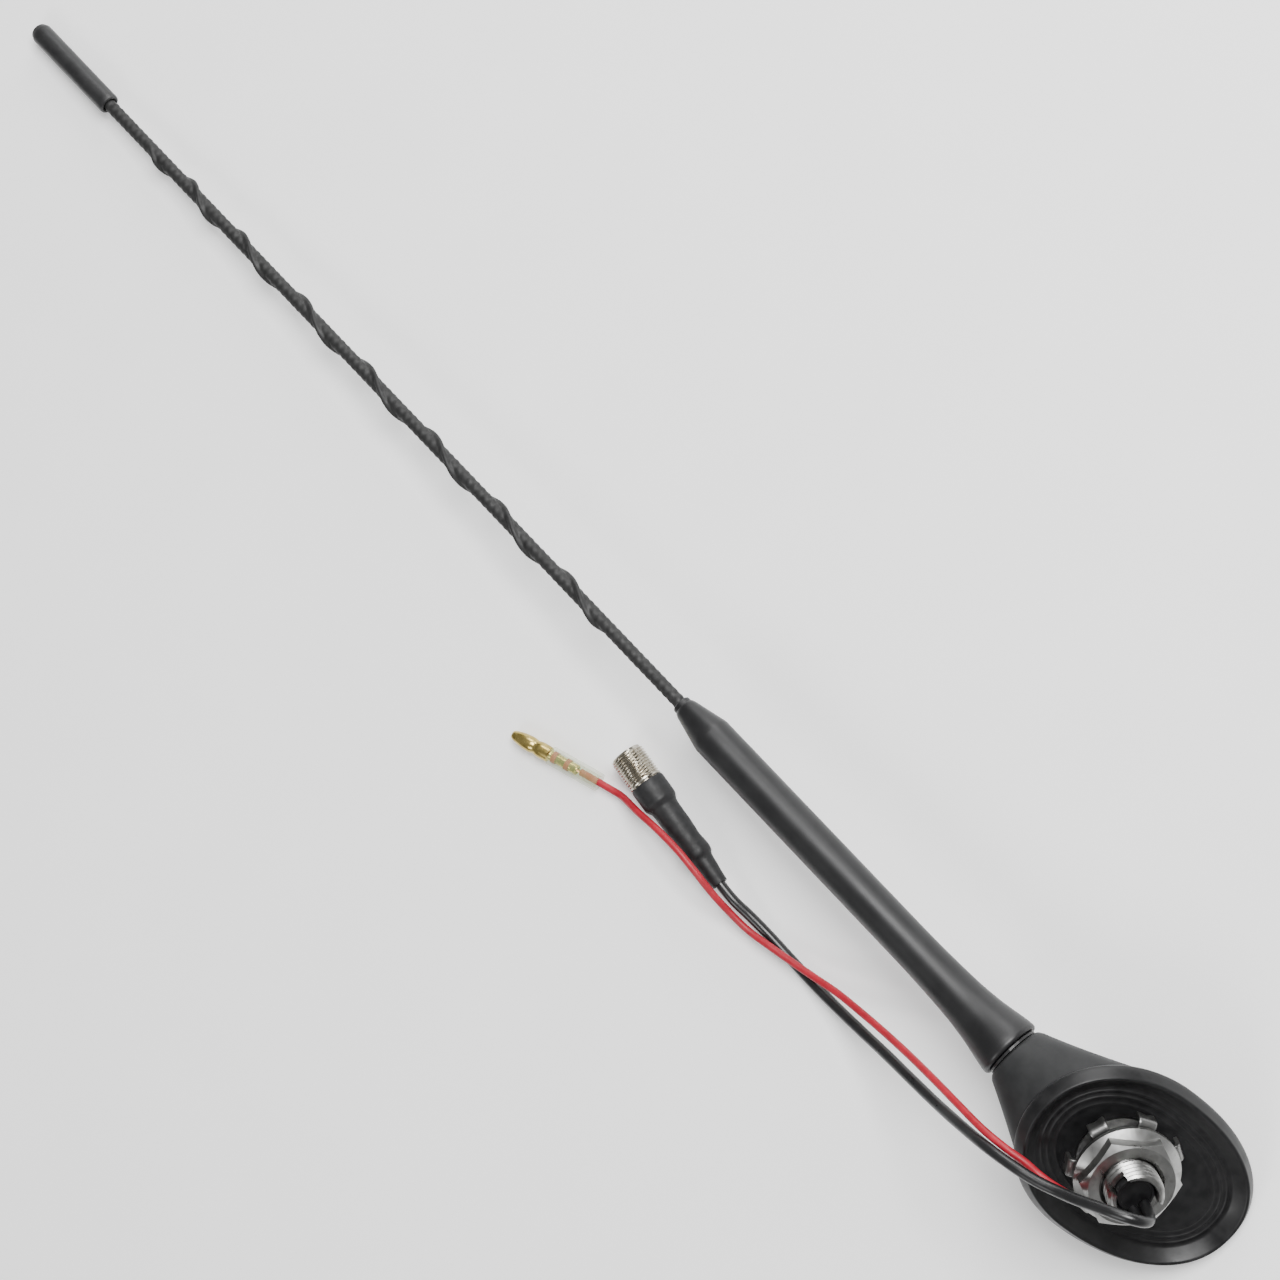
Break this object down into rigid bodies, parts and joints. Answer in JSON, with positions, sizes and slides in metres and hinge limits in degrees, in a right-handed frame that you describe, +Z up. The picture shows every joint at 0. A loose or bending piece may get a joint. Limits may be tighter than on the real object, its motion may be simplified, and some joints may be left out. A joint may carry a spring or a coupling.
{
  "type": "car roof whip antenna",
  "caption": "Omnidirectional car-roof whip antenna: screw-in helical mast on an oval amplified base, clamp nut and claw washer, coax lead and power lead.",
  "frame": {"origin": "bottom centre of the antenna's bounding box as it lies on a flat surface, measured without the two leads", "axes": "+X from the base towards the mast's tip, +Z up from the surface it lies on, +Y towards the side where the leads lie"},
  "size_m": [0.4688, 0.0685, 0.0495],
  "materials": {
    "shell_plastic": "fine matt grain, dark grey",
    "rubber": "satin black rubber",
    "black_plastic": "satin black plastic",
    "zinc": "bright zinc plate",
    "die_cast": "as-cast zinc alloy",
    "steel": "bare steel",
    "brass": "turned brass",
    "nickel": "nickel plate",
    "copper": "bare copper",
    "board": "green circuit board",
    "red_pvc": "red lead insulation",
    "milky_pvc": "milky translucent sleeve",
    "white_plastic": "natural white plastic"
  },
  "bodies": {
    "base": {"base_shell": "shell_plastic", "rim_gasket": "rubber", "cable_gland": "rubber", "socket_sleeve": "rubber", "base_frame": "die_cast", "neck_bush": "white_plastic", "socket_insulator": "white_plastic", "mast_socket": "brass", "socket_contact": "brass", "bullet_terminal": "brass", "hollow_stud": "zinc", "amplifier_board": "board", "amplifier_chip": "black_plastic", "choke_coil": "black_plastic", "coax_tail": "black_plastic", "coax_cable": "black_plastic", "shield_can": "nickel", "filter_capacitor": "nickel", "crimp_ferrule": "nickel", "socket_body": "nickel", "feed_lead": "copper", "wire_strands": "copper", "power_tail": "red_pvc", "power_wire": "red_pvc", "shell_screw_1": "steel", "shell_screw_2": "steel", "board_screw_1": "steel", "board_screw_2": "steel"},
    "mast_carrier": {"mast_seal": "rubber"},
    "mast": {"mast_stem": "steel", "flex_spring": "steel", "grip_ferrule": "brass", "grip": "rubber", "whip_core": "white_plastic", "whip_winding": "copper", "whip_sleeve": "black_plastic", "tip_cap": "black_plastic"},
    "washer": {"claw_washer": "zinc"},
    "nut": {"flange_nut": "zinc"},
    "terminal_cover": {"bullet_sleeve": "milky_pvc"}
  },
  "joints": [
    {"name": "mast_lift", "type": "slide", "parent": "base", "child": "mast_carrier", "axis": [0.9984, 0, -0.0571], "range_m": [0, 0.0081]},
    {"name": "mast_spin", "type": "hinge", "parent": "mast_carrier", "child": "mast", "pos_m": [-0.16626, 0, 0.02583], "axis": [0.9984, 0, -0.0571], "range_deg": [0, 3600]},
    {"name": "washer_slide", "type": "slide", "parent": "base", "child": "washer", "axis": [-0.5697, 0, 0.8219], "range_m": [0, 0.0021]},
    {"name": "nut_spin", "type": "hinge", "parent": "washer", "child": "nut", "pos_m": [-0.20534, 0, 0.02954], "axis": [-0.5697, 0, 0.8219], "range_deg": [0, 480]},
    {"name": "sleeve_slide", "type": "slide", "parent": "base", "child": "terminal_cover", "axis": [-0.9578, -0.2874, 0], "range_m": [0, 0.005]}
  ],
  "couplings": [
    {"joint": "mast_lift", "follows": "mast_spin", "m_per_rad": 0.00012732},
    {"joint": "washer_slide", "follows": "nut_spin", "m_per_rad": 0.00023873}
  ]
}
